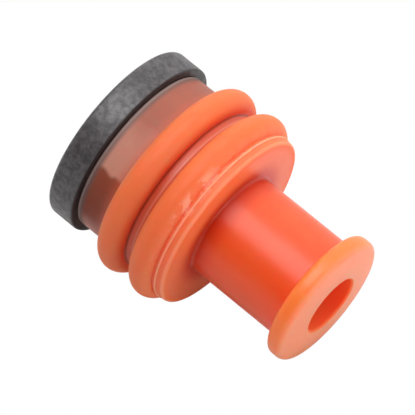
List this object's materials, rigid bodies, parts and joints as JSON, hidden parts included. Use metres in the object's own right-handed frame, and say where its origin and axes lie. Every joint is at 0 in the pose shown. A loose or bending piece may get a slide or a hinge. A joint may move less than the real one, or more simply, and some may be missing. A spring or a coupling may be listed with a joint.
{
  "type": "single-wire connector seal",
  "caption": "Orange silicone wire seal of a sealed connector, with rounded sealing ribs, a shoulder, a neck and an end flange, on a black plastic collar bush.",
  "frame": {"origin": "centre of the collar's flat standing end", "axes": "+Z along the seal's axis, from the collar towards the end flange and its wire hole; the part is round, so +X and +Y are any two square directions"},
  "size_m": [0.009, 0.009, 0.0116],
  "materials": {
    "silicone": "satin, translucent",
    "black_plastic": "matte, finely mottled"
  },
  "bodies": {
    "root": {"seal": "silicone", "collar_bush": "black_plastic"}
  },
  "joints": []
}
